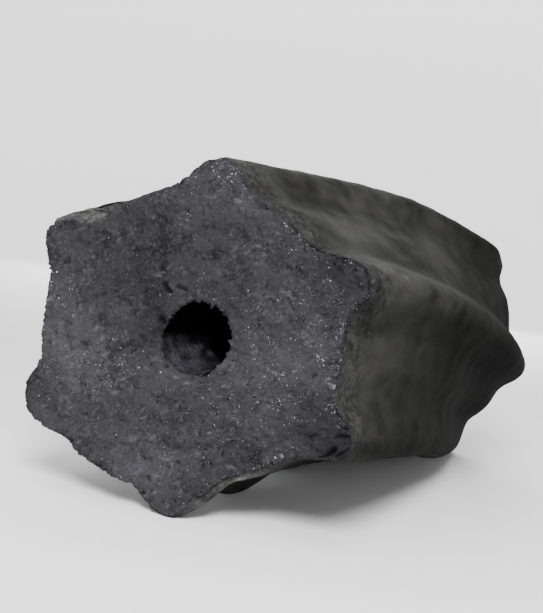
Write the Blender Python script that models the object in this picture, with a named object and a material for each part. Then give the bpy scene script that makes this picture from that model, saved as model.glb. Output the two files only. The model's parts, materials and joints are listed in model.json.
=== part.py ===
# A hexagonal charcoal briquette: a pressed and charred log, broken off at one end.
# Six ribs run along it and turn as they go, a draught hole runs through its middle,
# and it lies on its side on the ribs that touch the table.
import math

import bmesh
import bpy
import numpy as np

MM = 0.001

# The log, along its own axis from the broken face to the far end
LENGTH = 86.0 * MM
TWIST = 35.6                        # degrees that the ribs turn, clockwise as they recede
TWIST_LAG = 12.3                    # degrees by which the middle is ahead of an even twist, times four
BEND = (-4.3 * MM, -4.6 * MM)       # sideways and downwards drift of the axis at the far end
SWELL = 0.036                       # share by which the middle is wider than the ends
FACE_SLOPE = (0.249, 0.139)         # the broken face leans back towards the right and the top
END_SLOPE = (-0.077, 0.147)

# Ribs seen from the broken face: angle of the crest, its height above the flank, half of its
# width in degrees, and the radius of the flank between it and the next rib clockwise
RIBS = (
    (80.3, 3.4 * MM, 19.7, 17.6 * MM),
    (15.7, 3.7 * MM, 17.5, 19.8 * MM),
    (-36.2, 5.0 * MM, 16.3, 19.4 * MM),
    (-91.7, 2.9 * MM, 16.7, 19.6 * MM),
    (-154.9, 3.2 * MM, 20.7, 18.7 * MM),
    (-215.6, 4.7 * MM, 19.0, 17.9 * MM),
)

# Irregularities of the broken outline: angle, half width in degrees, change of the radius
RIM_CHIPS = (
    (3, 6, -0.6 * MM), (10, 4, 0.5 * MM), (135, 4, -0.5 * MM), (139, 4, 0.5 * MM),
    (162, 5, 0.4 * MM), (190, 5, -0.5 * MM), (197, 5, 0.5 * MM), (230, 7, 0.4 * MM),
    (252, 5, -0.4 * MM), (288, 5, -0.5 * MM), (306, 5, 0.4 * MM), (318, 5, -0.6 * MM),
    (328, 4, 0.6 * MM), (334, 4, -0.6 * MM), (353, 6, -0.5 * MM),
)
CHIP_REACH = 5.0 * MM               # how far along the side an irregularity runs out

# Lips of skin that stand out behind the crumbled rim: angle, half width, height
RIM_LIPS = (
    (127, 11, 1.7 * MM), (279, 6, 0.9 * MM),
)
LIP_START = 2.4 * MM                # the lip is at its full height this far behind the face
LIP_REACH = 9.0 * MM

# Rises and dents of the skin: angle, half width, place along the log, half length, height
SKIN_DENTS = (
    (-88, 20, 9 * MM, 8 * MM, -2.4 * MM),
    (-88, 22, 31 * MM, 11 * MM, -2.4 * MM),
    (-38, 14, 30 * MM, 26 * MM, -0.3 * MM),
    (-38, 14, 80 * MM, 14 * MM, -0.5 * MM),
    (120, 20, 18 * MM, 22 * MM, 1.3 * MM),
    (80, 16, 62 * MM, 28 * MM, -0.4 * MM),
    (78, 16, 26 * MM, 20 * MM, -0.5 * MM),
    (-12, 18, 80 * MM, 20 * MM, 0.5 * MM),
    (48, 18, 80 * MM, 20 * MM, 0.4 * MM),
)

# Hollows and rises of the broken face: place across it, half sizes, and change along the axis
FACE_RELIEF = (
    ((7.5 * MM, -15.8 * MM), (5.6 * MM, 3.0 * MM), 2.2 * MM),
    ((3.0 * MM, -14.6 * MM), (1.4 * MM, 3.6 * MM), -0.5 * MM),
    ((-4.3 * MM, 8.0 * MM), (2.2 * MM, 6.5 * MM), 1.0 * MM),
    ((-10.5 * MM, 3.0 * MM), (6.0 * MM, 5.0 * MM), -0.7 * MM),
    ((-13.0 * MM, 9.5 * MM), (3.6 * MM, 3.2 * MM), 0.6 * MM),
    ((18.6 * MM, -12.8 * MM), (2.6 * MM, 2.4 * MM), 1.0 * MM),
    ((13.5 * MM, -3.5 * MM), (5.0 * MM, 7.0 * MM), -0.7 * MM),
    ((18.8 * MM, 3.6 * MM), (3.2 * MM, 2.6 * MM), 0.8 * MM),
    ((2.5 * MM, 14.0 * MM), (5.0 * MM, 4.0 * MM), -0.6 * MM),
    ((-6.0 * MM, -12.0 * MM), (6.0 * MM, 4.5 * MM), -0.5 * MM),
)
SWIRL_HEIGHT = 0.14 * MM            # low arcs round the hole, left by the press screw
SWIRL_PITCH = 5.2 * MM
SWIRL_TURN = 2.0

EDGE_WEAR = ((0.0, 0.25 * MM), (0.5 * MM, 0.05 * MM), (1.4 * MM, 0.0))  # distance back, wear
END_EDGE = 2.2 * MM                 # radius of the far end's edge
END_DISH = 0.8 * MM

HOLE_RADIUS = 3.95 * MM
HOLE_AT_FACE = (1.6 * MM, -0.9 * MM)
HOLE_AT_END = (2.6 * MM, 0.7 * MM)  # the hole runs straighter than the bent log
HOLE_WOBBLE = ((2, 0.08 * MM, 0.9), (3, 0.08 * MM, 2.2), (5, 0.05 * MM, 4.0))
HOLE_LIP = ((0.0, 0.2 * MM), (0.5 * MM, 0.05 * MM))                   # distance in, flare
SKIN_WAVES = ((2, 1, 0.12 * MM, 0.7), (5, 2, 0.07 * MM, 2.6), (3, 3, 0.10 * MM, 4.4))

# How it lies: turned about its axis and tipped until two ribs meet the table
ROLL = -9.4
PITCH = 3.0
WORN_FLAT = 0.4 * MM               # the ribs are worn flat this deep where they touch

AROUND = 84
ALONG = 21
RIM_TO_HOLE = 10
END_TO_HOLE = 6
THROUGH_HOLE = 8


def ease(t):
    return 0.5 - 0.5 * np.cos(np.pi * np.clip(t, 0.0, 1.0))


def bump(angle, centre, half_width):
    """1 at the centre, falling smoothly to 0 at half_width degrees to each side."""
    away = np.abs((angle - centre + 180.0) % 360.0 - 180.0)
    return 1.0 - ease(away / half_width)


def rib_radius(angle):
    """Radius of the untouched section: ribs raised on flanks that blend into each other."""
    flanks = []
    for k, rib in enumerate(RIBS):
        gap = (rib[0] - RIBS[(k + 1) % len(RIBS)][0]) % 360.0
        flanks.append(((rib[0] - gap / 2.0) % 360.0, rib[3]))
    flanks.sort()
    first, last = flanks[0], flanks[-1]
    flanks = [(last[0] - 360.0, last[1])] + flanks + [(first[0] + 360.0, first[1])]
    places = np.array([flank[0] for flank in flanks])
    radii = np.array([flank[1] for flank in flanks])
    turned = angle % 360.0
    k = np.searchsorted(places, turned, side="right") - 1
    share = ease((turned - places[k]) / (places[k + 1] - places[k]))
    radius = radii[k] + (radii[k + 1] - radii[k]) * share
    for crest, height, half_width, _ in RIBS:
        radius = radius + height * bump(angle, crest, half_width)
    return radius


def outline_radius(angle, back, wear):
    """Radius at each angle on a ring that lies the distance back behind the broken face."""
    u = back / LENGTH
    radius = rib_radius(angle) * (1.0 + SWELL * 4.0 * u * (1.0 - u))
    for centre, half_width, change in RIM_CHIPS:
        radius = radius + change * bump(angle, centre, half_width) * math.exp(-(back / CHIP_REACH) ** 2)
    for centre, half_width, height in RIM_LIPS:
        along = ease(back / LIP_START) * math.exp(-(back / LIP_REACH) ** 2)
        radius = radius + height * bump(angle, centre, half_width) * along
    for centre, half_width, middle, half_length, height in SKIN_DENTS:
        along = 1.0 - ease(abs(back - middle) / half_length)
        radius = radius + height * bump(angle, centre, half_width) * along
    for lobes, waves, height, phase in SKIN_WAVES:
        turn = np.radians(angle * lobes) + phase
        radius = radius + height * np.sin(turn + 2.0 * math.pi * waves * u) * min(1.0, back / CHIP_REACH)
    return radius - wear


def axis_at(u):
    return BEND[0] * u * u, BEND[1] * u * u


def face_relief(x, z):
    """How far the broken face lies behind its mean plane."""
    depth = np.zeros_like(x)
    for (cx, cz), (rx, rz), change in FACE_RELIEF:
        depth = depth + change * np.exp(-((x - cx) / rx) ** 2 - ((z - cz) / rz) ** 2)
    away = np.hypot(x - HOLE_AT_FACE[0], z - HOLE_AT_FACE[1])
    turn = np.arctan2(z, x) * SWIRL_TURN
    return depth + SWIRL_HEIGHT * np.sin(2.0 * math.pi * away / SWIRL_PITCH + turn)


def end_relief(x, z):
    """How far the far end is sunk: a shallow dish that fades out towards its edge."""
    share = np.clip(np.hypot(x, z) / (18.0 * MM), 0.0, 1.0)
    return -END_DISH * (1.0 - ease(share))


def place(x, z, u, relief_share=0.0):
    """Points of a cross-section at share u of the length, from their offsets to the axis."""
    ax, az = axis_at(u)
    lean = 2.0 * u * (BEND[0] * x + BEND[1] * z) / LENGTH
    face = FACE_SLOPE[0] * x + FACE_SLOPE[1] * z
    end = END_SLOPE[0] * x + END_SLOPE[1] * z
    y = u * LENGTH - lean + (1.0 - u) * face + u * end
    if relief_share > 0.0:
        y = y + relief_share * (face_relief(x, z) if u < 0.5 else end_relief(x, z))
    return np.stack([x + ax, y, z + az], axis=-1)


def side_ring(back, wear):
    angle = np.arange(AROUND) * 360.0 / AROUND
    u = back / LENGTH
    radius = outline_radius(angle, back, wear)
    turn = np.radians(angle - TWIST * u + TWIST_LAG * u * (1.0 - u))
    relief_share = math.exp(-(back / CHIP_REACH) ** 2) if u < 0.5 else 0.0
    return place(radius * np.cos(turn), radius * np.sin(turn), u, relief_share)


def hole_offsets(u, flare):
    """Offsets to the axis of the draught hole's wall, on the same spokes as the side."""
    angle = np.arange(AROUND) * 360.0 / AROUND
    turn = np.radians(angle - TWIST * u)
    radius = HOLE_RADIUS + flare + np.zeros(AROUND)
    for lobes, height, phase in HOLE_WOBBLE:
        radius = radius + height * np.sin(lobes * turn + phase + 5.0 * u)
    x = HOLE_AT_FACE[0] * (1.0 - u) + HOLE_AT_END[0] * u + radius * np.cos(turn)
    z = HOLE_AT_FACE[1] * (1.0 - u) + HOLE_AT_END[1] * u + radius * np.sin(turn)
    return x, z


def side_rings():
    rings = [side_ring(back, wear) for back, wear in EDGE_WEAR]
    first = EDGE_WEAR[-1][0]
    last = LENGTH - END_EDGE
    for k in range(1, ALONG + 1):
        rings.append(side_ring(first + (last - first) * k / ALONG, 0.0))
    for share in (30.0, 58.0, 90.0):
        turn = math.radians(share)
        back = last + END_EDGE * math.sin(turn)
        rings.append(side_ring(back, END_EDGE * (1.0 - math.cos(turn))))
    return rings


def cap_rings(outer, u, flare, count):
    """Rings over an end, from the ring at its edge towards the rim of the hole."""
    ax, az = axis_at(u)
    ox, oz = outer[:, 0] - ax, outer[:, 2] - az
    hx, hz = hole_offsets(u, flare)
    rings = []
    for k in range(1, count):
        share = k / count
        rings.append(place(ox + (hx - ox) * share, oz + (hz - oz) * share, u, 1.0))
    return rings


def hole_rings():
    """Rings of the hole's wall, from the far end back to the broken face."""
    rings = []
    flares = [flare for _, flare in HOLE_LIP]
    depths = [depth / LENGTH for depth, _ in HOLE_LIP]
    shares = [1.0 - d for d in depths]
    shares += [1.0 - k / THROUGH_HOLE for k in range(1, THROUGH_HOLE)]
    shares += depths[::-1]
    swell = flares + [0.0] * (THROUGH_HOLE - 1) + flares[::-1]
    for u, flare in zip(shares, swell):
        x, z = hole_offsets(u, flare)
        near_end = min(u, 1.0 - u) * LENGTH
        rings.append(place(x, z, u, math.exp(-(near_end / CHIP_REACH) ** 2)))
    return rings


def all_rings():
    side = side_rings()
    flare = HOLE_LIP[0][1]
    end_cap = cap_rings(side[-1], 1.0, flare, END_TO_HOLE)
    face_cap = cap_rings(side[0], 0.0, flare, RIM_TO_HOLE)
    return side + end_cap + hole_rings() + face_cap[::-1]


def lay_down(rings):
    """Turns the log to the way it rests, and sets it on the table over the origin."""
    roll, pitch = math.radians(ROLL), math.radians(PITCH)
    about_y = np.array([[math.cos(roll), 0.0, math.sin(roll)],
                        [0.0, 1.0, 0.0],
                        [-math.sin(roll), 0.0, math.cos(roll)]])
    about_x = np.array([[1.0, 0.0, 0.0],
                        [0.0, math.cos(pitch), -math.sin(pitch)],
                        [0.0, math.sin(pitch), math.cos(pitch)]])
    points = np.array(rings) @ (about_x @ about_y).T
    low = points.min(axis=(0, 1))
    high = points.max(axis=(0, 1))
    middle = (low + high) / 2.0
    return points - np.array([middle[0], middle[1], low[2] + WORN_FLAT])


def charcoal():
    material = bpy.data.materials.new("charcoal")
    material.use_nodes = True
    shader = material.node_tree.nodes["Principled BSDF"]
    shader.inputs["Base Color"].default_value = (0.062, 0.062, 0.066, 1.0)
    shader.inputs["Roughness"].default_value = 0.62
    shader.inputs["Metallic"].default_value = 0.0
    return material


def table_cutter():
    """A block under the table's surface, which wears the ribs flat."""
    bpy.ops.mesh.primitive_cube_add(size=1.0)
    block = bpy.context.object
    block.name = "table_cutter"
    block.dimensions = (0.2, 0.2, 0.02)
    block.location = (0.0, 0.0, -0.01)
    block.hide_render = True
    block.display_type = "WIRE"
    return block


def briquette():
    """The whole log as one skin: rings over the side, the far end, the hole and the face."""
    points = lay_down(all_rings())
    shape = bmesh.new()
    rings = [[shape.verts.new(point) for point in ring] for ring in points]
    for k, ring in enumerate(rings):
        following = rings[(k + 1) % len(rings)]
        for j in range(AROUND):
            n = (j + 1) % AROUND
            shape.faces.new((ring[j], ring[n], following[n], following[j]))
    bmesh.ops.recalc_face_normals(shape, faces=shape.faces)
    mesh = bpy.data.meshes.new("briquette")
    shape.to_mesh(mesh)
    shape.free()
    body = bpy.data.objects.new("briquette", mesh)
    bpy.context.collection.objects.link(body)
    mesh.materials.append(charcoal())
    mesh.shade_smooth()
    mesh.set_sharp_from_angle(angle=math.radians(50.0))
    wear = body.modifiers.new("worn_flats", "BOOLEAN")
    wear.operation = "DIFFERENCE"
    wear.solver = "EXACT"
    wear.object = table_cutter()
    return body


for leftover in list(bpy.data.objects):
    bpy.data.objects.remove(leftover, do_unlink=True)
briquette()
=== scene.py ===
import json
import math

import bmesh
import bpy
import numpy as np
from mathutils import Matrix, Vector
from mathutils.bvhtree import BVHTree


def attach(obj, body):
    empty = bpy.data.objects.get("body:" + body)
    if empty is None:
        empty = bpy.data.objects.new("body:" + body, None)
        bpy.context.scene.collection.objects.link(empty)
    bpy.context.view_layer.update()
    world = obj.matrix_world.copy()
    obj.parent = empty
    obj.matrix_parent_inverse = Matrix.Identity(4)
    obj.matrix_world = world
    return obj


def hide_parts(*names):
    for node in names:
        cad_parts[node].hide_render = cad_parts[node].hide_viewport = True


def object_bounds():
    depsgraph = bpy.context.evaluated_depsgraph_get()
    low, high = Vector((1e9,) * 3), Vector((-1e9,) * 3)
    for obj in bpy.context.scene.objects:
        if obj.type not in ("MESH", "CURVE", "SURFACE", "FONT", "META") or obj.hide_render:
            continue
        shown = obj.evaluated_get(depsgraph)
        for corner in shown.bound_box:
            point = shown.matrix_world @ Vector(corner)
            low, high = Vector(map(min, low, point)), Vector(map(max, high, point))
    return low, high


print("charcoal log: loading the frame")
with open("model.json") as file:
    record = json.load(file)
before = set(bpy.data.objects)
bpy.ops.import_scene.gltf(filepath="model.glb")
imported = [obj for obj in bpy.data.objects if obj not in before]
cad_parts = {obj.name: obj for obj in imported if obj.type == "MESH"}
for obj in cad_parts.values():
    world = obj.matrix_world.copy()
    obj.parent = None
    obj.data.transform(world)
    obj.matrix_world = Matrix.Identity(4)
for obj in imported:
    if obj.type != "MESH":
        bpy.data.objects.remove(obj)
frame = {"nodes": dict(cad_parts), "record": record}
cadLow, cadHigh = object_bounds()

# how the log lies on the table: turns in degrees, then a shift in mm
lay = {"roll": -9.4, "pitch": 3.0, "shift": (-1.824, 42.168, -22.051)}


class Wire:
    # an output of a node that can stand in a sum, which adds the Math nodes
    def __init__(self, graph, socket):
        self.graph = graph
        self.socket = socket

    def __add__(self, other):
        return self.graph.math("ADD", self, other)

    def __radd__(self, other):
        return self.graph.math("ADD", other, self)

    def __sub__(self, other):
        return self.graph.math("SUBTRACT", self, other)

    def __rsub__(self, other):
        return self.graph.math("SUBTRACT", other, self)

    def __mul__(self, other):
        return self.graph.math("MULTIPLY", self, other)

    def __rmul__(self, other):
        return self.graph.math("MULTIPLY", other, self)

    def __pow__(self, other):
        return self.graph.math("POWER", self, other)

    def least(self, other):
        return self.graph.math("MINIMUM", self, other)

    def most(self, other):
        return self.graph.math("MAXIMUM", self, other)

    def ramp(self, low, high, start=0.0, end=1.0, smooth=True):
        # start below low, end above high, and a smooth step between them
        kind = "SMOOTHSTEP" if smooth else "LINEAR"
        values = {0: self, 1: low, 2: high, 3: start, 4: end}
        return self.graph.add("ShaderNodeMapRange", {"interpolation_type": kind, "clamp": True}, values)


class Graph:
    # a shader tree or a geometry tree that is being built
    def __init__(self, tree):
        self.tree = tree
        self.column = 0

    def add(self, kind, settings=None, sockets=None, out=0):
        node = self.tree.nodes.new(kind)
        self.column += 1
        node.location = (180 * (self.column % 24), -220 * (self.column // 24))
        for name, value in (settings or {}).items():
            setattr(node, name, value)
        for key, value in (sockets or {}).items():
            self.feed(node.inputs[key], value)
        return Wire(self, node.outputs[out]) if len(node.outputs) else node

    def feed(self, socket, value):
        if isinstance(value, Wire):
            self.tree.links.new(value.socket, socket)
        else:
            socket.default_value = value

    def math(self, operation, *values):
        return self.add("ShaderNodeMath", {"operation": operation}, dict(enumerate(values)))

    def vector(self, operation, *values, out=0):
        return self.add("ShaderNodeVectorMath", {"operation": operation}, dict(enumerate(values)), out)

    def stretch(self, vector, scale):
        return self.add("ShaderNodeVectorMath", {"operation": "SCALE"}, {"Vector": vector, "Scale": scale})

    def mix(self, share, first, second):
        settings = {"data_type": "RGBA", "clamp_factor": True}
        sockets = {0: share, 6: asColour(first), 7: asColour(second)}
        return self.add("ShaderNodeMix", settings, sockets, out=2)

    def noise(self, place, scale, detail, rough, seed):
        settings = {"noise_dimensions": "4D", "noise_type": "FBM", "normalize": True}
        sockets = {"Vector": place, "W": seed, "Scale": scale, "Detail": detail, "Roughness": rough}
        return self.add("ShaderNodeTexNoise", settings, sockets)

    def noiseColour(self, place, scale, seed):
        # three noises at once, each around zero, to bend another pattern with
        settings = {"noise_dimensions": "4D"}
        sockets = {"Vector": place, "W": seed, "Scale": scale}
        colour = self.add("ShaderNodeTexNoise", settings, sockets, out=1)
        return self.vector("SUBTRACT", colour, (0.5, 0.5, 0.5))

    def cells(self, place, scale):
        # distance to the middle of the nearest cell
        settings = {"feature": "F1", "voronoi_dimensions": "3D"}
        return self.add("ShaderNodeTexVoronoi", settings, {"Vector": place, "Scale": scale})

    def cellChance(self, place, scale):
        # one random number for each cell, which is the red part of its colour
        settings = {"feature": "F1", "voronoi_dimensions": "3D"}
        colour = self.add("ShaderNodeTexVoronoi", settings, {"Vector": place, "Scale": scale}, out=1)
        forShader = self.tree.bl_idname == "ShaderNodeTree"
        kind = "ShaderNodeSeparateColor" if forShader else "FunctionNodeSeparateColor"
        return self.add(kind, {}, {0: colour})


def asColour(value):
    return (*value, 1.0) if isinstance(value, tuple) and len(value) == 3 else value


def startMaterial(name):
    material = bpy.data.materials.new(name)
    material.use_nodes = True
    material.node_tree.nodes.clear()
    return material, Graph(material.node_tree)


def finishMaterial(graph, fixed, linked):
    # one Principled shader: fixed values on its own sockets, and what varies linked to it
    shader = graph.add("ShaderNodeBsdfPrincipled", {}, {**fixed, **linked})
    graph.add("ShaderNodeOutputMaterial", {}, {"Surface": shader})


def startGeometry(name, inputs):
    # a geometry tree with one geometry in, one out and named numbers
    tree = bpy.data.node_groups.new(name, "GeometryNodeTree")
    tree.interface.new_socket("Geometry", in_out="INPUT", socket_type="NodeSocketGeometry")
    tree.interface.new_socket("Geometry", in_out="OUTPUT", socket_type="NodeSocketGeometry")
    for label, value in inputs.items():
        kind = "NodeSocketInt" if isinstance(value, int) else "NodeSocketFloat"
        tree.interface.new_socket(label, in_out="INPUT", socket_type=kind).default_value = value
    graph = Graph(tree)
    group = tree.nodes.new("NodeGroupInput")
    return tree, graph, {socket.name: Wire(graph, socket) for socket in group.outputs if socket.name}


def endGeometry(graph, geometry, material):
    whole = graph.add("GeometryNodeRealizeInstances", {}, {"Geometry": geometry})
    painted = graph.add("GeometryNodeSetMaterial", {}, {"Geometry": whole, "Material": material})
    graph.tree.links.new(painted.socket, graph.tree.nodes.new("NodeGroupOutput").inputs[0])


def runGeometry(source, tree, inputs, name):
    # the tree's result on a mesh object, as a new plain mesh object
    modifier = source.modifiers.new(tree.name, "NODES")
    modifier.node_group = tree
    for item in tree.interface.items_tree:
        if item.in_out == "INPUT" and item.name in inputs:
            modifier[item.identifier] = inputs[item.name]
    made = bakeObject(source, name)
    source.modifiers.remove(modifier)
    return made


def bakeObject(source, name):
    bpy.context.view_layer.update()
    depsgraph = bpy.context.evaluated_depsgraph_get()
    result = source.evaluated_get(depsgraph)
    mesh = bpy.data.meshes.new_from_object(result, preserve_all_data_layers=True, depsgraph=depsgraph)
    mesh.name = name
    made = bpy.data.objects.new(name, mesh)
    bpy.context.scene.collection.objects.link(made)
    return made


def discard(thing):
    mesh = thing.data
    bpy.data.objects.remove(thing)
    bpy.data.meshes.remove(mesh)


def meshPoints(mesh):
    points = np.empty(len(mesh.vertices) * 3)
    mesh.vertices.foreach_get("co", points)
    return points.reshape(-1, 3)


def meshNormals(mesh):
    normals = np.empty(len(mesh.vertices) * 3)
    mesh.vertices.foreach_get("normal", normals)
    return normals.reshape(-1, 3)


def setPoints(mesh, points):
    mesh.vertices.foreach_set("co", np.asarray(points, dtype=np.float32).ravel())
    mesh.update()


def storeNumber(mesh, name, values):
    if name not in mesh.attributes:
        mesh.attributes.new(name, "FLOAT", "POINT")
    mesh.attributes[name].data.foreach_set("value", np.asarray(values, dtype=np.float32))


def readNumber(mesh, name):
    values = np.empty(len(mesh.vertices), dtype=np.float32)
    mesh.attributes[name].data.foreach_get("value", values)
    return values


def ownFrame(points):
    # metres on the table to mm in the log's own frame: x across, y along from the face, z up
    pitch = Matrix.Rotation(math.radians(lay["pitch"]), 3, "X")
    roll = Matrix.Rotation(math.radians(lay["roll"]), 3, "Y")
    return (points * 1000.0 + np.array(lay["shift"])) @ np.array(pitch @ roll)


def smoothStep(values, low, high):
    share = np.clip((values - low) / (high - low), 0.0, 1.0)
    return share * share * (3.0 - 2.0 * share)


def hump(x, z, middle, reach):
    # a soft hill that is 1 at its middle and fades out over its reach
    return np.exp(-((x - middle[0]) / reach[0]) ** 2 - ((z - middle[1]) / reach[1]) ** 2)


def addHumps(total, patches, x, z):
    for middle, reach, amount in patches:
        total = total + amount * hump(x, z, middle, reach)
    return total


def addHumpsRound(total, patches, along, turn):
    # the same for patches whose middles are given along the log and in degrees round it
    for (middleAlong, middleTurn), reach, amount in patches:
        apart = (turn - middleTurn + 180.0) % 360.0 - 180.0
        total = total + amount * hump(along, apart, (middleAlong, 0.0), reach)
    return total


def keepInBox(mesh):
    setPoints(mesh, np.clip(meshPoints(mesh), np.array(cadLow), np.array(cadHigh)))


# the log's skin, faces and hole, told apart on the CAD mesh

print("charcoal log: sorting the surfaces")

logMesh = {
    "voxel": 0.62,  # mm between points on the skin
    "faceCuts": 2,  # extra cuts on the broken face, so its points lie about 0.2 mm apart
    "rimBand": 1.6,  # mm of skin behind the rim that is cut as finely
    "lipBand": 1.2,  # mm of hole wall that is cut as finely
    "skinTouch": 0.3,  # mm from the skin that still count as skin there
    "holeReach": 5.4,  # mm from the hole's middle line that still count as its wall
    "faceBefore": 15.0,  # mm along the log, where the broken face has ended
    "endAfter": 65.0,  # mm along the log, where the far end can begin
    "squareOn": 0.6,  # how squarely a surface looks along the log, or the hole's wall at its middle
    "evenRounds": 140,
    "evenSteps": (0.5, -0.52),  # a step in, then a slightly longer step out
    "evenToRim": (-1.6, -0.6),  # mm from the rim over which the smoothing ends
    "evenToHole": (-1.0, 0.0),  # mm from the mouths over which the smoothing ends
}


def mergedCopy(node, name):
    mesh = frame["nodes"][node].data.copy()
    mesh.name = name
    build = bmesh.new()
    build.from_mesh(mesh)
    bmesh.ops.remove_doubles(build, verts=build.verts, dist=2e-6)
    build.to_mesh(mesh)
    build.free()
    for layerName in [layer.name for layer in mesh.uv_layers]:
        mesh.uv_layers.remove(mesh.uv_layers[layerName])
    made = bpy.data.objects.new(mesh.name, mesh)
    bpy.context.scene.collection.objects.link(made)
    return made


def holeMiddle(points):
    # the hole's middle line at each point's y, from the openings in the record
    boxes = np.array([opening["box_m"] for opening in frame["record"]["physics"]["openings"]])
    middles = boxes.mean(axis=1)
    order = np.argsort(middles[:, 1])
    x = np.interp(points[:, 1], middles[order, 1], middles[order, 0])
    z = np.interp(points[:, 1], middles[order, 1], middles[order, 2])
    return np.stack([x, points[:, 1], z], axis=1)


def sortSurfaces(mesh):
    # a search tree for each surface of the merged CAD mesh
    points = meshPoints(mesh)
    mesh.calc_loop_triangles()
    triangles = np.array([triangle.vertices for triangle in mesh.loop_triangles])
    corners = points[triangles]
    centres = corners.mean(axis=1)
    normals = np.cross(corners[:, 1] - corners[:, 0], corners[:, 2] - corners[:, 0])
    normals /= np.maximum(np.linalg.norm(normals, axis=1, keepdims=True), 1e-20)
    toMiddle = holeMiddle(centres) - centres
    reach = np.linalg.norm(toMiddle, axis=1)
    inward = (toMiddle * normals).sum(axis=1) / np.maximum(reach, 1e-9)
    along = ownFrame(centres)[:, 1]
    hole = (reach < logMesh["holeReach"] * 0.001) & (inward > logMesh["squareOn"])
    face = ~hole & (along < logMesh["faceBefore"]) & (normals[:, 1] < -logMesh["squareOn"])
    end = ~hole & (along > logMesh["endAfter"]) & (normals[:, 1] > logMesh["squareOn"])
    skin = ~(hole | face | end)
    trees = {}
    for name, chosen in {"face": face, "end": end, "hole": hole, "skin": skin, "ends": face | end}.items():
        trees[name] = BVHTree.FromPolygons(points.tolist(), triangles[chosen].tolist(), all_triangles=True)
        print("  ", name, int(chosen.sum()), "triangles")
    trees["all"] = BVHTree.FromPolygons(points.tolist(), triangles.tolist(), all_triangles=True)
    return trees


def gapTo(tree, points):
    # distance in mm from each point to a surface
    return np.array([tree.find_nearest(point)[3] for point in points.tolist()]) * 1000.0


def measureGaps(mesh, trees):
    # mm into the face from its rim, into the hole from its mouths and into the far end from its edge
    points = meshPoints(mesh)
    toSkin = gapTo(trees["skin"], points)
    toMouths = np.minimum(toSkin, gapTo(trees["ends"], points))
    storeNumber(mesh, "rimGap", toSkin - gapTo(trees["face"], points))
    storeNumber(mesh, "holeGap", toMouths - gapTo(trees["hole"], points))
    storeNumber(mesh, "endGap", toSkin - gapTo(trees["end"], points))


def neighbours(mesh):
    # a function that gives the mean of each point's neighbours
    edges = np.empty(len(mesh.edges) * 2, dtype=np.int64)
    mesh.edges.foreach_get("vertices", edges)
    first, second = edges[0::2], edges[1::2]
    size = len(mesh.vertices)
    count = np.maximum(np.bincount(edges, minlength=size), 1)

    def mean(values):
        return (np.bincount(first, values[second], size) + np.bincount(second, values[first], size)) / count

    return mean


def spread(mesh, values, rounds):
    mean = neighbours(mesh)
    for step in range(rounds):
        values = (values + mean(values)) * 0.5
    return values


def evenOut(mesh, share):
    # smooths the points without shrinking the ribs
    mean = neighbours(mesh)
    points = meshPoints(mesh)
    for step in logMesh["evenSteps"] * logMesh["evenRounds"]:
        for axis in range(3):
            points[:, axis] += (mean(points[:, axis]) - points[:, axis]) * step * share
    setPoints(mesh, points)


def remeshLog(source, name):
    modifier = source.modifiers.new("even", "REMESH")
    modifier.mode = "VOXEL"
    modifier.voxel_size = logMesh["voxel"] * 0.001
    made = bakeObject(source, name)
    source.modifiers.remove(modifier)
    return made


def cutFace(made, trees):
    # finer faces on the broken face, its rim and the mouth of the hole
    points = meshPoints(made.data)
    toFace = gapTo(trees["face"], points)
    toSkin = gapTo(trees["skin"], points)
    near = toFace < np.where(toSkin < logMesh["skinTouch"], logMesh["rimBand"], logMesh["lipBand"])
    build = bmesh.new()
    build.from_mesh(made.data)
    build.verts.ensure_lookup_table()
    edges = [edge for edge in build.edges if near[edge.verts[0].index] and near[edge.verts[1].index]]
    bmesh.ops.subdivide_edges(build, edges=edges, cuts=logMesh["faceCuts"], use_grid_fill=True)
    bmesh.ops.triangulate(build, faces=[face for face in build.faces if len(face.verts) > 4])
    build.to_mesh(made.data)
    build.free()
    points = meshPoints(made.data)
    settled = [trees["all"].find_nearest(point)[0] for point in points.tolist()]
    setPoints(made.data, np.array([tuple(point) for point in settled]))


cadLog = mergedCopy("briquette", "cadLog")
surfaces = sortSurfaces(cadLog.data)
plainLog = remeshLog(cadLog, "plainLog")
cutFace(plainLog, surfaces)
measureGaps(plainLog.data, surfaces)
evenShare = 1.0 - smoothStep(readNumber(plainLog.data, "rimGap"), *logMesh["evenToRim"])
evenShare *= 1.0 - smoothStep(readNumber(plainLog.data, "holeGap"), *logMesh["evenToHole"])
evenOut(plainLog.data, evenShare)
print("   remeshed to", len(plainLog.data.vertices), "points")

# marks on the broken face, in mm across and up as seen from the front

print("charcoal log: cracks and creases")

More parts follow.
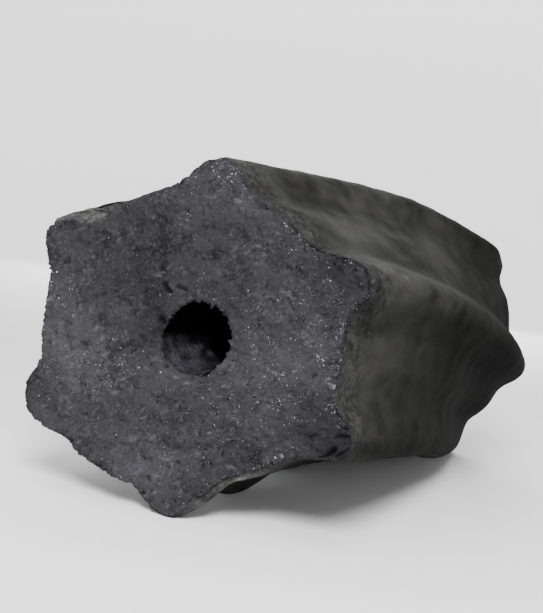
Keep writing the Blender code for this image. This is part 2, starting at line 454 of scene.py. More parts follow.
faceMarks = (
    # points along the mark, half width in mm, height in mm, and darkness, which is painted shade in the
    # crack
    (((-3.2, 5.7), (-2.6, 5.0), (-1.9, 4.55)), 0.26, -0.55, 1.0),
    (((-3.9, 7.7), (-3.6, 7.2)), 0.22, -0.35, 0.8),
    (((-1.0, 5.25), (0.1, 4.85)), 0.2, -0.35, 0.9),
    (((-3.15, 1.55), (-2.6, 1.0)), 0.36, -0.6, 1.0),
    (((18.9, -14.9), (20.1, -14.1), (21.1, -13.2)), 0.42, -0.8, 1.0),
    (((16.6, -15.6), (17.2, -15.0), (18.3, -13.8)), 0.34, -0.7, 1.0),
    (((15.7, -12.4), (16.3, -12.2)), 0.17, -0.3, 0.9),
    (((18.5, -12.5), (19.9, -12.4)), 0.17, -0.35, 0.9),
    (((19.4, -11.6), (20.2, -11.4)), 0.16, -0.25, 0.6),
    (((2.9, -15.3), (4.1, -14.3), (5.4, -13.0)), 0.45, 0.35, 0.0),
    (((-4.4, 13.6), (-4.2, 10.5), (-3.6, 7.6), (-3.2, 5.4)), 0.7, -0.34, 0.0),
    (((2.8, -5.0), (3.8, -4.4), (4.3, -3.8), (4.7, -3.2), (5.1, -2.3)), 0.30, -0.35, 1.0),
    (((-13.5, 3.4), (-9.8, 4.6)), 0.26, -0.15, 0.35),
    (((-8.8, -3.0), (-5.4, -1.0), (-2.6, 0.2)), 0.26, -0.14, 0.3),
    (((-0.9, -3.6), (0.8, -5.0), (2.6, -5.2)), 0.9, -0.55, 0.0),
    (((-2.6, -1.2), (-1.6, -3.0)), 0.8, -0.45, 0.0),
)

# where the skin wraps over the rim: middle across and up, reach, and mm of face that it takes
rimLips = (
    ((-13.2, 14.9), 3.0, 1.35),
    ((8.6, -18.6), 2.6, 1.1),
    ((3.0, -21.0), 2.0, 0.9),
)

# the one spot of the rim that stands out: middle across and up, reach across and up, and mm of rise
rimBulge = {"middle": (-13.4, 15.2), "reach": (2.7, 2.6), "rise": 0.8}

rimFades = {"lips": (12.0, 8.0), "bulge": (10.0, 2.0)}  # mm along the log over which each dies away


def wrapRim(mesh):
    # lifts the bulge, draws the face back under the lips and hands that strip to the skin
    points = meshPoints(mesh)
    own = ownFrame(points)
    x, along, z = own[:, 0], own[:, 1], own[:, 2]
    share = hump(x, z, rimBulge["middle"], rimBulge["reach"])
    points[:, 2] += rimBulge["rise"] * 0.001 * share * smoothStep(along, *rimFades["bulge"])
    rim = readNumber(mesh, "rimGap")
    lip = np.zeros(len(rim))
    for (middleX, middleZ), reach, width in rimLips:
        lip += width * np.exp(-((x - middleX) ** 2 + (z - middleZ) ** 2) / reach ** 2)
    back = np.where(rim > 0.0, np.maximum(lip - rim, 0.0), np.maximum(lip - np.abs(rim) * 2.0, 0.0))
    points[:, 1] += back * 0.001 * smoothStep(along, *rimFades["lips"])
    setPoints(mesh, points)
    storeNumber(mesh, "rimGap", rim - lip * smoothStep(along, *rimFades["lips"]))


def gapToPath(x, z, path):
    # distance from points to a line of straight steps
    best = np.full(len(x), 1e9)
    for (ax, az), (bx, bz) in zip(path[:-1], path[1:]):
        dx, dz = bx - ax, bz - az
        share = np.clip(((x - ax) * dx + (z - az) * dz) / (dx * dx + dz * dz), 0.0, 1.0)
        best = np.minimum(best, np.hypot(x - ax - share * dx, z - az - share * dz))
    return best


def markFace(mesh):
    own = ownFrame(meshPoints(mesh))
    x, z = own[:, 0], own[:, 2]
    onFace = smoothStep(readNumber(mesh, "rimGap"), -0.5, 0.1)
    height = np.zeros(len(x))
    dark = np.zeros(len(x))
    for path, halfWidth, rise, darkness in faceMarks:
        share = np.exp(-(gapToPath(x, z, path) / halfWidth) ** 2)
        height += rise * share * onFace
        # painted shade in the crack
        dark = np.maximum(dark, darkness * share * onFace)
    storeNumber(mesh, "markHeight", height)
    storeNumber(mesh, "markDark", dark)


# broad tones of the broken face, painted shade and a painted highlight among them: middle across and up,
# reach across and up in mm, and change
facePatches = (
    ((-6.4, 7.5), (4.6, 6.5), -0.34),
    ((-14.0, 11.5), (3.5, 3.0), -0.16),
    ((-15.0, -1.5), (5.5, 6.5), 0.38),
    ((-6.5, -4.6), (5.5, 3.0), 0.16),
    ((12.0, -4.0), (4.5, 5.5), 0.14),
    ((19.6, 5.2), (3.4, 5.5), -0.38),
    ((18.6, -13.2), (4.2, 4.6), -0.62),
    ((12.3, -15.8), (2.2, 2.4), 0.26),
    ((5.4, -17.0), (3.8, 2.6), -0.30),
    ((-4.0, -16.5), (6.5, 4.4), 0.34),
    ((7.3, 14.5), (3.2, 2.2), 0.10),
    ((-3.8, 1.6), (2.2, 3.2), -0.30),
    ((7.0, 9.0), (14.0, 10.0), -0.18),
    ((-2.2, 10.0), (1.7, 5.0), 0.14),
)

# where the grains and dots painted bright as glints lie thickest: middle across and up, reach across and up
# in mm, and share
glintPatches = (
    ((18.2, -0.5), (1.9, 3.6), 0.90),
    ((18.2, -6.5), (1.9, 3.6), 0.90),
    ((12.0, -6.0), (6.0, 8.0), 0.30),
    ((2.0, 19.0), (3.5, 3.0), 0.45),
    ((6.1, 17.8), (2.0, 1.6), 0.45),
    ((-16.5, 2.5), (2.4, 8.0), 0.35),
    ((3.4, -13.2), (3.2, 2.6), 0.55),
    ((-9.0, -3.8), (4.6, 1.9), 0.60),
    ((-12.0, -5.4), (2.6, 1.6), 0.35),
    ((18.0, -13.5), (4.0, 3.2), -0.45),
    ((5.0, 7.0), (6.0, 5.0), -0.06),
)

# painted shade and painted highlights on the skin: middle along in mm and round in degrees, reach along and
# round, and change
skinLightPatches = (
    ((60.0, -16.0), (21.0, 17.0), -1.05),
    ((74.0, -52.0), (16.0, 26.0), -0.65),
    ((78.0, 36.0), (16.0, 34.0), -0.45),
    ((30.0, -42.0), (26.0, 18.0), -0.85),
    ((34.0, -1.0), (20.0, 5.0), -0.40),
    ((36.0, 7.5), (6.0, 3.0), 0.14),
    ((22.0, 5.0), (7.0, 4.0), -0.16),
    ((36.0, -10.0), (8.0, 8.0), -0.40),
    ((45.0, -16.0), (10.0, 7.0), -0.25),
    ((66.0, -32.0), (13.0, 12.0), -0.55),
    ((63.0, -60.0), (15.0, 9.0), -1.05),
    ((6.0, 4.0), (4.0, 5.0), -0.45),
    ((7.5, 10.5), (3.5, 3.0), -0.32),
    ((30.0, -29.0), (14.0, 8.0), -0.20),
    ((8.0, -37.5), (6.5, 3.2), -0.80),
    ((26.0, -45.5), (12.0, 4.5), -0.50),
    ((46.0, -51.0), (14.0, 7.0), -0.50),
    ((36.0, 21.0), (18.0, 8.0), -0.18),
    ((13.0, 30.0), (7.0, 9.0), -0.20),
    ((5.5, 7.0), (2.5, 2.6), -0.45),
    ((22.0, 38.0), (14.0, 13.0), 0.16),
    # painted highlights on the rib crest
    ((11.1, 17.2), (1.0, 1.8), 0.55),
    ((14.0, 16.4), (0.8, 1.3), 0.35),
    ((16.3, 14.8), (1.2, 1.8), 0.60),
    # painted light on the strips just behind the rim
    ((0.5, 137.0), (6.0, 14.0), 0.95),
    ((0.5, -72.0), (6.0, 17.0), 1.00),
)

# painted light and shade on the hole's wall, painted glints among them: middle along and round the hole,
# reach along and round, and change
holeLightPatches = (
    ((7.4, -153.0), (1.2, 4.0), 2.3),
    ((9.2, -141.0), (1.0, 4.0), 2.5),
    ((5.6, -150.0), (1.4, 5.0), 0.8),
    ((2.0, -118.0), (3.0, 16.0), 0.35),
    ((1.6, -140.0), (1.0, 5.0), 0.5),
    ((4.2, -163.0), (2.6, 7.0), -0.30),
)

holeTone = {
    "litMiddle": -122.0,  # degrees round the hole, where the painted light on its wall is brightest
    "litReach": (40.0, 56.0),  # degrees to each side where the pale wall ends
    "depths": (8.5, 11.5),  # mm into the hole over which the painted shade turns it black
    "dark": 0.05,  # share of the paint that is left where no light falls
}

# the hole's mouth in the broken face, with small teeth round it
mouth = {
    "waves": ((13.0, 0.8, 0.5), (23.0, 2.1, 0.6), (37.0, 4.0, 0.5)),  # teeth in a turn, start and share
    "depth": 0.34,  # mm
    "band": 0.45,  # mm from the mouth
    "longestAt": 0.6,  # radians round the hole
    "shortest": 0.45,  # share of the depth on the other side
}

skinFade = {
    "under": 0.60,  # painted shade where it faces the table
    "underFacing": (-0.55, 0.15),  # height of the normal over which that ends
    "underAlong": (4.0, 16.0),  # mm along the log over which it begins
    "far": 0.55,  # painted shade towards the far end
    "farAlong": (35.0, 88.0),
    "facingRounds": 60,
}

# how many grains and dots painted as glints lie where
glintTone = {
    "least": 0.01,
    "base": 0.05,
    "toRight": 0.06,  # more of them from left to right
    "across": (-8.0, 14.0),  # mm
    "rim": 0.8,  # more of them on the rim, right of rimFrom
    "rimReach": 0.5,  # mm
    "rimFrom": 4.0,  # mm across
    "skinEdge": (-0.35, 0.0),  # mm over which they end at the skin
    "holeEdge": (-0.4, 0.0),  # mm over which they end at the hole
}

# painted shade in the crumbled seam between face and skin: faint all round but for the left, and strongest
# at one rib
seamTone = {
    "base": 0.25,
    "across": (-11.0, -5.0),  # mm over which it begins
    "rib": 0.65,
    "ribMiddle": (16.0, 7.0),  # mm across and up
    "ribReach": (7.0, 6.0),  # mm
}


def raggedMouth(mesh):
    points = meshPoints(mesh)
    out = points - holeMiddle(points)
    reach = np.maximum(np.hypot(out[:, 0], out[:, 2]), 1e-6)
    turn = np.arctan2(out[:, 2], out[:, 0])
    teeth = sum(np.sin(count * turn + start) * share for count, start, share in mouth["waves"])
    side = smoothStep(np.cos(turn - mouth["longestAt"]), -0.2, 0.7)
    teeth *= mouth["shortest"] + (1.0 - mouth["shortest"]) * side
    near = np.exp(-(readNumber(mesh, "holeGap") / mouth["band"]) ** 2)
    near *= smoothStep(readNumber(mesh, "rimGap"), 0.0, 0.5)
    shift = teeth * near * mouth["depth"] * 0.001
    points[:, 0] += out[:, 0] / reach * shift
    points[:, 2] += out[:, 2] / reach * shift
    setPoints(mesh, points)


def paintHoleLight(along, turn):
    # painted light on the hole's wall: lit low on one side, black deeper in, with painted glints
    change = addHumpsRound(np.zeros(len(along)), holeLightPatches, along, turn)
    apart = np.abs((turn - holeTone["litMiddle"] + 180.0) % 360.0 - 180.0)
    lit = (1.0 - smoothStep(apart, *holeTone["litReach"])) * (1.0 - smoothStep(along, *holeTone["depths"]))
    return np.exp(change) * (holeTone["dark"] + (1.0 - holeTone["dark"]) * lit)


def paintFaceToneAndLight(x, z):
    # broad tones of the face together with its painted shade and highlight
    return np.exp(addHumps(np.zeros(len(x)), facePatches, x, z))


def paintSkinLight(mesh, x, along, z):
    # painted shade and highlights of the skin: its patches, shade where it faces the table and towards the
    # far end
    facing = spread(mesh, meshNormals(mesh)[:, 2], skinFade["facingRounds"])
    change = addHumpsRound(np.zeros(len(x)), skinLightPatches, along, np.degrees(np.arctan2(z, x)))
    under = skinFade["under"] * (1.0 - smoothStep(facing, *skinFade["underFacing"]))
    under *= smoothStep(along, *skinFade["underAlong"])
    return np.exp(change - (under + skinFade["far"] * smoothStep(along, *skinFade["farAlong"])))


def shareOfGlints(mesh, x, z):
    rim, hole = readNumber(mesh, "rimGap"), readNumber(mesh, "holeGap")
    glint = glintTone["base"] + glintTone["toRight"] * smoothStep(x, *glintTone["across"])
    glint = addHumps(glint, glintPatches, x, z)
    glint += glintTone["rim"] * np.exp(-(rim / glintTone["rimReach"]) ** 2) * (x > glintTone["rimFrom"])
    glint = np.maximum(glint, glintTone["least"]) * smoothStep(rim, *glintTone["skinEdge"])
    return glint * (1.0 - smoothStep(hole, *glintTone["holeEdge"]))


def markLog(mesh):
    # numbers on the points that steer the paint, the relief and the grains
    own = ownFrame(meshPoints(mesh))
    x, along, z = own[:, 0], own[:, 1], own[:, 2]
    middle = ownFrame(holeMiddle(meshPoints(mesh)))
    outX, outZ = x - middle[:, 0], z - middle[:, 2]
    # painted shade of the seam at the rim
    seam = seamTone["base"] * smoothStep(x, *seamTone["across"])
    seam = seam + seamTone["rib"] * hump(x, z, seamTone["ribMiddle"], seamTone["ribReach"])
    storeNumber(mesh, "rimDark", seam)
    storeNumber(mesh, "glint", shareOfGlints(mesh, x, z))
    storeNumber(mesh, "faceToneAndLight", paintFaceToneAndLight(x, z))
    storeNumber(mesh, "skinPaintedLight", paintSkinLight(mesh, x, along, z))
    storeNumber(mesh, "proud", np.hypot(outX, outZ))
    storeNumber(mesh, "holePaintedLight", paintHoleLight(along, np.degrees(np.arctan2(outZ, outX))))


wrapRim(plainLog.data)
raggedMouth(plainLog.data)
markFace(plainLog.data)
markLog(plainLog.data)

# the log's own material: sparkling fracture with painted glints, matt olive skin and a sooty hole with
# painted light and shade

logPaint = {
    "faceDark": (0.0110, 0.0110, 0.0128),
    "faceLight": (0.0440, 0.0432, 0.0490),
    "faceCalm": (0.0312, 0.0310, 0.0346),
    "fleck": (0.0800, 0.0790, 0.0880),
    "spark": (0.1700, 0.1690, 0.1800),
    "skinDark": (0.0122, 0.0123, 0.0115),
    "skinLight": (0.0464, 0.0463, 0.0432),
    "skinSpeck": (0.1100, 0.1100, 0.1030),
    "soot": (0.0310, 0.0305, 0.0362),
    "sootDark": (0.0045, 0.0042, 0.0060),
    # painted shade for cracks, pits and the seam at the rim
    "creaseShade": (0.0025, 0.0025, 0.0030),
}

# how much of each layer shows
logShares = {
    "fleck": 0.9,
    "calm": 0.45,
    "pitShade": 0.6,
    "worn": 0.30,
    "speck": 0.06,
    "speckAtRim": 0.5,
    "crumbs": 0.6,
    "brokenEnd": 0.85,
    "marks": 0.9,
    "crust": 0.08,
    "crustAtEnds": 0.92,
}

# noise scales, each about how many swells or cells there are in a millimetre
logScales = {
    "broad": 0.16,
    "patch": 0.5,
    "grain": 2.4,
    "dust": 6.5,
    "clump": 0.45,
    "spark": 5.2,
    "calm": 0.55,
    "pitShade": 1.15,
    "blur": 0.14,
    "mottle": 0.42,
    "fine": 2.6,
    "worn": 1.1,
    "speck": 1.9,
    "crust": 1.5,
    "ragged": 1.6,
}

logFinish = {"roughness": 0.72, "specular": 0.012, "drawnOut": (1.0, 0.6, 1.0), "nearEnds": (-9.0, -0.5)}


def charcoalMaterial():
    material, graph = startMaterial("charcoal")
    place = graph.stretch(graph.add("ShaderNodeTexCoord", {}, {}, out=3), 1000.0)

    def number(name):
        return graph.add("ShaderNodeAttribute", {"attribute_name": name}, {}, out=2)

    rim, hole, end = number("rimGap"), number("holeGap"), number("endGap")
    proud, dark, glint = number("proud"), number("markDark"), number("glint")

    ragged = graph.noise(place, logScales["ragged"], 3.0, 0.6, 4.0) - 0.5
    onFace = (rim + ragged * 1.1).ramp(-0.25, 0.05)
    onEnd = (end + ragged * 2.0).ramp(-1.2, 0.6)
    inHole = (hole + ragged * 0.8).ramp(-0.1, 0.5)

    broad = graph.noise(place, logScales["broad"], 2.0, 0.55, 1.0)
    patch = graph.noise(place, logScales["patch"], 3.0, 0.6, 2.0)
    grain = graph.noise(place, logScales["grain"], 3.0, 0.65, 3.0)
    dust = graph.noise(place, logScales["dust"], 2.0, 0.7, 5.0)

    # broken face: dark ground, paler flecks lying several ways, and painted glints, bright dots that stand
    # for grains catching the light
    def flecks(turn, scale, length, seed):
        laid = graph.add("ShaderNodeMapping", {"vector_type": "TEXTURE"}, {
            "Vector": place,
            "Location": (seed, seed, seed),
            "Rotation": (0.0, turn, 0.0),
            "Scale": (length, 1.0, 1.0),
        })
        laid = graph.vector("ADD", laid, graph.stretch(graph.noiseColour(place, 0.7, seed), 1.6))
        pick = graph.cellChance(laid, scale).ramp(0.55, 1.0)
        return pick * graph.cells(laid, scale).ramp(0.12, 0.62, 1.0, 0.0)

    lying = graph.noise(place, 0.25, 1.0, 0.5, 21.0).ramp(0.46, 0.54)
    fleck = flecks(-0.6, 1.5, 3.2, 3.0) * (1.0 - lying) + flecks(0.25, 1.5, 3.2, 9.0) * lying
    fleck = fleck + flecks(-0.9, 3.4, 2.2, 14.0) * 0.8 + flecks(0.8, 3.0, 2.0, 19.0) * 0.6
    tone = (broad * 0.8 + patch * 0.9 + grain * 1.0 + dust * 1.1).ramp(1.5, 2.35, smooth=False)
    face = graph.mix(tone, logPaint["faceDark"], logPaint["faceLight"])
    clump = graph.noise(place, logScales["clump"], 3.0, 0.65, 6.0).ramp(0.38, 0.66)
    fleckShare = (fleck * (0.25 + clump * 0.75)).least(1.0) * logShares["fleck"]
    face = graph.mix(fleckShare, face, logPaint["fleck"])
    # painted glints: bright dots in the colour, which are also less rough
    spark = graph.cellChance(place, logScales["spark"]).ramp(0.80, 1.0)
    spark = spark * graph.cells(place, logScales["spark"]).ramp(0.05, 0.5, 1.0, 0.0)
    spark = (spark * (clump + 0.15) * (glint * 1.6 + 0.30)).least(1.0)
    face = graph.mix(spark, face, logPaint["spark"])
    calm = graph.noise(place, logScales["calm"], 1.5, 0.5, 24.0).ramp(0.46, 0.60)
    face = graph.mix(calm * logShares["calm"], face, logPaint["faceCalm"])
    # painted shade in small pits
    pitShade = graph.noise(place, logScales["pitShade"], 2.0, 0.5, 8.0).ramp(0.26, 0.40, 1.0, 0.0)
    face = graph.mix(pitShade * logShares["pitShade"], face, logPaint["creaseShade"])
    # broad tones and painted light of the broken face
    face = graph.stretch(face, number("faceToneAndLight"))

    # skin: soft olive grey mottling, a painted highlight on the ribs and painted shade towards the far end
    drawn = graph.vector("MULTIPLY", place, logFinish["drawnOut"])
    blur = graph.noise(drawn, logScales["blur"], 1.5, 0.5, 11.0)
    mottle = graph.noise(drawn, logScales["mottle"], 1.6, 0.5, 12.0)
    fine = graph.noise(drawn, logScales["fine"], 2.0, 0.6, 13.0)
    nearRim = rim.ramp(*logFinish["nearEnds"])
    skinTone = blur * 1.3 + mottle * 1.1 + (fine - 0.5) * (nearRim * 0.22 + 0.06)
    skinTone = skinTone.ramp(0.78, 1.65, smooth=False)
    # painted highlight: paler where the ribs stand out
    skinTone = skinTone * proud.ramp(18.0, 22.5, 0.85, 1.15)
    skin = graph.mix(skinTone, logPaint["skinDark"], logPaint["skinLight"])
    # painted highlight: pale specks on the rib crests
    worn = graph.noise(drawn, logScales["worn"], 3.0, 0.7, 14.0).ramp(0.50, 0.66) * proud.ramp(21.0, 23.5)
    skin = graph.mix(worn * logShares["worn"], skin, logPaint["skinSpeck"])
    # painted shade and highlights of the skin
    skin = graph.stretch(skin, number("skinPaintedLight"))
    crust = graph.noise(place, logScales["crust"], 3.0, 0.65, 17.0)
    rough = nearRim.most(end.ramp(*logFinish["nearEnds"])) * logShares["crustAtEnds"] + logShares["crust"]
    skin = graph.stretch(skin, 1.0 + rough * crust.ramp(0.36, 0.64, -0.5, 0.5))
    speck = graph.cellChance(place, logScales["speck"]).ramp(0.90, 0.98)
    speck = speck * graph.cells(place, logScales["speck"]).ramp(0.1, 0.4, 1.0, 0.0)
    speckShare = speck * (logShares["speck"] + nearRim * logShares["speckAtRim"])
    skin = graph.mix(speckShare, skin, logPaint["skinSpeck"])
    crumbs = (rim + ragged * 5.0).ramp(-2.2, -0.4) * (1.0 - onFace)
    skin = graph.mix(crumbs * logShares["crumbs"], skin, face)

    # the layers over each other: skin, broken ends, painted shade of the seam at the rim, soot with painted
    # light and shade in the hole, and the marks' painted shade
    coat = graph.mix(onEnd * logShares["brokenEnd"], skin, face)
    coat = graph.mix(onFace, coat, face)
    torn = rim + ragged * 0.9
    seam = torn.ramp(-0.75, -0.25) * torn.ramp(-0.1, 0.25, 1.0, 0.0)
    seam = seam * number("rimDark") * patch.ramp(0.38, 0.54, 0.35, 1.0)
    # painted shade in the seam
    coat = graph.mix(seam, coat, logPaint["creaseShade"])
    sootTone = (patch * 0.6 + grain * 0.9 + clump * 0.2).ramp(0.55, 1.05)
    soot = graph.mix(sootTone, logPaint["sootDark"], logPaint["soot"])
    # painted light and shade on the soot of the hole's wall
    coat = graph.mix(inHole, coat, graph.stretch(soot, number("holePaintedLight")))
    # painted shade in the cracks and creases
    coat = graph.mix(dark * logShares["marks"], coat, logPaint["creaseShade"])

    shine = logFinish["roughness"] + (grain - 0.5) * 0.3 - spark * 0.3
    faceRelief = grain * 0.16 + dust * 0.09 + fleck * 0.06
    skinRelief = mottle * 0.06 + fine * 0.02 + rough * crust * 0.2
    relief = onFace * faceRelief + (1.0 - onFace) * skinRelief
    bump = graph.add("ShaderNodeBump", {}, {"Strength": 1.0, "Distance": 0.001, "Height": relief})
    fixed = {"Specular IOR Level": logFinish["specular"]}
    finishMaterial(graph, fixed, {"Base Color": coat, "Roughness": shine, "Normal": bump})
    return material


charcoal = charcoalMaterial()

# relief that follows the surface: fracture on the face, soft waves on the skin, a rough hole

print("charcoal log: relief")

reliefSizes = {
    "Face lumps": 0.9,  # mm, broad swells on the fracture
    "Face chips": 0.3,  # mm, flakes with steps between them
    "Face grain": 0.45,  # mm, the crumbly finest relief
    "Swirl": 0.16,  # mm, ripples that curl round the hole
    "Skin waves": 0.22,  # mm
    "Hole roughness": 0.6,  # mm
    "Rim crumble": 1.1,  # mm broken off the rim at most
    "Hole crumble": 0.7,  # mm broken off the hole's mouths at most
    "Seed": 7,
}

swirlMiddle = (3.5, 0.0, 22.3)  # mm, the hole on the broken face


def reliefTree(material):
    tree, graph, given = startGeometry("logRelief", reliefSizes)
    place = graph.stretch(graph.add("GeometryNodeInputPosition"), 1000.0)
    seed = given["Seed"] * 1.37

    def number(name):
        return graph.add("GeometryNodeInputNamedAttribute", {"data_type": "FLOAT"}, {"Name": name})

    def swell(scale, detail, rough, shift):
        return (graph.noise(place, scale, detail, rough, seed + shift) - 0.5) * 2.0

    rim, hole, end = number("rimGap"), number("holeGap"), number("endGap")
    onFace = rim.ramp(-0.15, 0.35).most(end.ramp(-0.6, 0.8))
    inHole = hole.ramp(-0.2, 0.6)
    atRim = rim.ramp(-1.6, 0.0) * rim.ramp(0.0, 1.2, 1.0, 0.0)
    atMouth = hole.ramp(-0.7, 0.0) * hole.ramp(0.0, 0.6, 1.0, 0.0)

    lumps = swell(0.24, 2.0, 0.5, 0.0) * given["Face lumps"]
    sockets = {"Vector": place, "Scale": 0.9}
    bend = graph.add("ShaderNodeTexNoise", {"noise_dimensions": "3D"}, sockets, out=1)
    warp = graph.vector("MULTIPLY_ADD", bend, (1.6, 1.6, 1.6), place)
    flake = graph.cellChance(warp, 0.62) - 0.5
    chip = graph.cellChance(warp, 1.45) - 0.5
    chips = (flake + chip * 0.6) * given["Face chips"]
    grain = (swell(1.5, 3.0, 0.7, 2.0) + swell(0.7, 2.0, 0.6, 5.0) * 0.7) * given["Face grain"]
    curl = graph.add("ShaderNodeTexWave", {"wave_type": "RINGS", "rings_direction": "Y"}, {
        "Vector": graph.vector("SUBTRACT", place, swirlMiddle),
        "Scale": 0.13,
        "Distortion": 5.0,
        "Detail": 2.0,
        "Detail Scale": 0.5,
    }, out=1)
    faceRise = (lumps + chips + grain + (curl - 0.5) * given["Swirl"]) * onFace
    waves = swell(0.16, 2.0, 0.5, 9.0) + swell(0.9, 2.0, 0.5, 10.0) * 0.25
    skinRise = waves * given["Skin waves"] * (1.0 - onFace)
    wallRise = (swell(0.5, 3.0, 0.6, 12.0) - 0.25) * given["Hole roughness"] * inHole
    broken = swell(0.75, 4.0, 0.7, 15.0).ramp(-0.05, 0.5) + swell(2.2, 2.0, 0.6, 16.0).ramp(0.0, 0.5) * 0.35
    crumble = broken * atRim * given["Rim crumble"]
    crumble = crumble + swell(1.9, 3.0, 0.7, 17.0).ramp(-0.05, 0.4) * atMouth * given["Hole crumble"]
    rise = (faceRise + skinRise) * (1.0 - inHole) + wallRise - crumble + number("markHeight")
    shift = graph.stretch(graph.add("GeometryNodeInputNormal"), rise * 0.001)
    moved = graph.add("GeometryNodeSetPosition", {}, {"Geometry": given["Geometry"], "Offset": shift})
    endGeometry(graph, moved, material)
    return tree


charredLog = runGeometry(plainLog, reliefTree(charcoal), reliefSizes, "charredLog")
keepInBox(charredLog.data)
charredLog.data.shade_smooth()
print("   ", sum(len(face.vertices) - 2 for face in charredLog.data.polygons), "triangles")

# grains that sit in the broken face, painted bright as glints

print("charcoal log: grains")

grainSizes = {
    "Per square metre": 9.0e6,  # where the glint attribute is 1
    "Smallest": 0.05,  # mm
    "Largest": 0.13,  # mm
    "Seed": 23,
}

grainPaint = {
    "dull": (0.045, 0.045, 0.050),
    # painted glint: the palest grains stand for light that they catch
    "bright": (0.50, 0.50, 0.52),
    "roughness": 0.42,
    "smoother": 0.2,  # less rough by this where they are brightest
    "specular": 0.6,
}


def grainMaterial():
    material, graph = startMaterial("glintGrain")
    tone = graph.add("ShaderNodeAttribute", {"attribute_name": "grainTone"}, {}, out=2)
    # painted glint: the tone runs from dull to nearly white
    colour = graph.mix(tone, grainPaint["dull"], grainPaint["bright"])
    rough = grainPaint["roughness"] - tone * grainPaint["smoother"]
    fixed = {"Specular IOR Level": grainPaint["specular"]}
    finishMaterial(graph, fixed, {"Base Color": colour, "Roughness": rough})
    return material


def grainTree(material):
    tree, graph, given = startGeometry("glintGrains", grainSizes)
    glint = graph.add("GeometryNodeInputNamedAttribute", {"data_type": "FLOAT"}, {"Name": "glint"})
    place = graph.stretch(graph.add("GeometryNodeInputPosition"), 1000.0)
    clump = graph.noise(place, 0.75, 2.0, 0.6, 31.0).ramp(0.48, 0.64) * 2.8 + 0.08
    spots = graph.add("GeometryNodeDistributePointsOnFaces", {"distribute_method": "RANDOM"}, {
        "Mesh": given["Geometry"],
        "Density": glint * clump * given["Per square metre"],
        "Seed": given["Seed"],
    })
    crystal = graph.add("GeometryNodeMeshCube", {}, {"Size": (0.001, 0.001, 0.001)})

    def chance(shift):
        sockets = {2: 0.0, 3: 1.0, "Seed": given["Seed"] + shift}
        return graph.add("FunctionNodeRandomValue", {"data_type": "FLOAT"}, sockets, out=1)

    def chanceVector(low, high, shift):
        sockets = {0: low, 1: high, "Seed": given["Seed"] + shift}
        return graph.add("FunctionNodeRandomValue", {"data_type": "FLOAT_VECTOR"}, sockets, out=0)

    size = given["Smallest"] + chance(1) ** 2.0 * (given["Largest"] - given["Smallest"])
    placed = graph.add("GeometryNodeInstanceOnPoints", {}, {
        "Points": spots,
        "Instance": crystal,
        "Rotation": chanceVector((0.0, 0.0, 0.0), (6.28, 6.28, 6.28), 3),
        "Scale": graph.stretch(chanceVector((0.6, 0.6, 0.4), (1.5, 1.5, 1.0), 2), size),
    })
    toned = graph.add("GeometryNodeStoreNamedAttribute", {"data_type": "FLOAT", "domain": "INSTANCE"}, {
        "Geometry": placed,
        "Name": "grainTone",
        "Value": chance(4) ** 5.0,
    })
    endGeometry(graph, toned, material)
    return tree


glintGrains = runGeometry(charredLog, grainTree(grainMaterial()), grainSizes, "glintGrains")
keepInBox(glintGrains.data)
print("   ", len(glintGrains.data.polygons) // 6, "grains")

for spare in (cadLog, plainLog):
    discard(spare)

for piece in (charredLog, glintGrains):
    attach(piece, "root")
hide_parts("briquette")

# pale studio: a round white sheet that turns up at its edge, and three soft lights

print("charcoal log: studio")

studio = {
    "radius": 1.1,  # metres to the turned up edge
    "curl": 0.55,  # metres, radius of the turn
    "sheet": (0.92, 0.92, 0.92),
    "around": 96,  # faces round the sheet
    "glow": 1.2,  # light of its own at the edge, as a lit backdrop has
    "glowFrom": 0.12,  # metres from the middle
    "glowTo": 0.5,  # metres
    "glowDip": 0.45,  # less of it in the ring that the rear light brightens
    "dipRing": (0.20, 0.42, 0.65),  # metres from the middle, where the dip begins, is deepest and ends
    "skyStrength": 0.25,
    "aim": (0.0, 0.0, 0.02),  # what the lights look at
}

# each light's place and size in metres, and its power in watts
lights = {
    "key": ((0.08, -0.175, 0.17), 0.10, 1.0),
    "top": ((-0.05, 0.05, 0.75), 0.7, 3.0),
    "rear": ((-0.22, 0.42, 0.22), 0.3, 2.2),
}


def sheetMesh():
    profile = [(radius, 0.0) for radius in np.linspace(0.0, studio["radius"], 12)[1:]]
    profile += [
        (studio["radius"] + studio["curl"] * math.sin(turn), studio["curl"] * (1.0 - math.cos(turn)))
        for turn in np.linspace(0.0, math.pi / 2.0, 12)[1:]
    ]
    around = studio["around"]
    build = bmesh.new()
    middle = build.verts.new((0.0, 0.0, 0.0))
    rings = []
    for radius, height in profile:
        ring = []
        for step in range(around):
            turn = 2.0 * math.pi * step / around
            ring.append(build.verts.new((radius * math.cos(turn), radius * math.sin(turn), height)))
        rings.append(ring)
    for step in range(around):
        after = (step + 1) % around
        build.faces.new((middle, rings[0][step], rings[0][after]))
        for inner, outer in zip(rings[:-1], rings[1:]):
            build.faces.new((inner[step], outer[step], outer[after], inner[after]))
    mesh = bpy.data.meshes.new("sheet")
    build.to_mesh(mesh)
    build.free()
    mesh.shade_smooth()
    return mesh


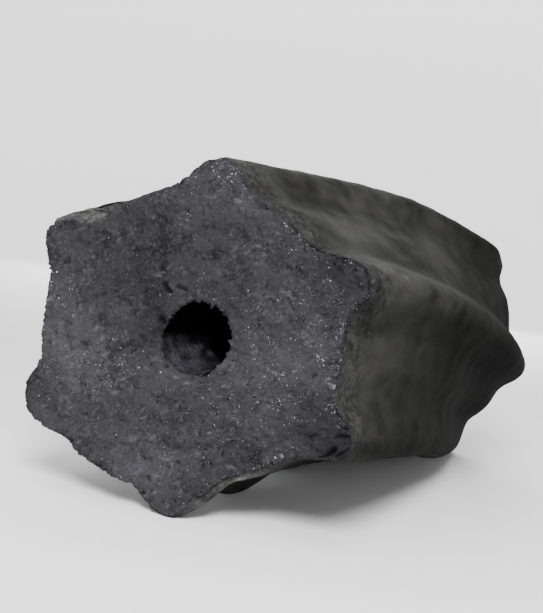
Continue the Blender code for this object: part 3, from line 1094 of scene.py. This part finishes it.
def sheetMaterial():
    material, graph = startMaterial("paleSheet")
    away = graph.vector("LENGTH", graph.add("ShaderNodeTexCoord", {}, {}, out=3), out=1)
    begins, deepest, ends = studio["dipRing"]
    dip = away.ramp(begins, deepest) * away.ramp(deepest, ends, 1.0, 0.0)
    glow = away.ramp(studio["glowFrom"], studio["glowTo"], 0.0, studio["glow"]) - dip * studio["glowDip"]
    fixed = {
        "Base Color": (*studio["sheet"], 1.0),
        "Roughness": 0.9,
        "Specular IOR Level": 0.1,
        "Emission Strength": 1.0,
    }
    finishMaterial(graph, fixed, {"Emission Color": glow})
    return material


def studioSheet():
    mesh = sheetMesh()
    mesh.materials.append(sheetMaterial())
    made = bpy.data.objects.new("sheet", mesh)
    bpy.context.scene.collection.objects.link(made)


def softLight(name, place, size, power):
    data = bpy.data.lights.new(name, "AREA")
    data.shape = "DISK"
    data.size = size
    data.energy = power
    lamp = bpy.data.objects.new(name, data)
    lamp.location = place
    lamp.rotation_euler = (Vector(studio["aim"]) - Vector(place)).to_track_quat("-Z", "Y").to_euler()
    bpy.context.scene.collection.objects.link(lamp)


def paleSky():
    world = bpy.data.worlds.new("paleSky")
    world.use_nodes = True
    world.node_tree.nodes.clear()
    graph = Graph(world.node_tree)
    white = {"Color": (1.0, 1.0, 1.0, 1.0), "Strength": studio["skyStrength"]}
    sky = graph.add("ShaderNodeBackground", {}, white)
    graph.add("ShaderNodeOutputWorld", {}, {"Surface": sky})
    bpy.context.scene.world = world


studioSheet()
for name, (place, size, power) in lights.items():
    softLight(name, place, size, power)
paleSky()

# camera fitted to the photograph's outline: 1000 pixels of focal length in a 543 by 613 picture

view = {
    "place": (0.07011, -0.1411, 0.03358),
    "right": (0.85506, 0.49915, 0.14043),
    "down": (0.15192, 0.01779, -0.98823),
    "forward": (-0.49578, 0.86633, -0.06062),
    "focalPixels": 1000.0,
    "pictureHeight": 613,
    "sensor": 36.0,  # mm
}


def photoCamera():
    data = bpy.data.cameras.new("camera")
    data.sensor_fit = "VERTICAL"
    data.sensor_height = view["sensor"]
    data.lens = view["sensor"] * view["focalPixels"] / view["pictureHeight"]
    data.clip_start = 0.005
    camera = bpy.data.objects.new("camera", data)
    up = [-part for part in view["down"]]
    back = [-part for part in view["forward"]]
    axes = Matrix((view["right"], up, back)).transposed()
    camera.matrix_world = Matrix.Translation(view["place"]) @ axes.to_4x4()
    bpy.context.scene.collection.objects.link(camera)
    bpy.context.scene.camera = camera


photoCamera()

print("charcoal log: done")
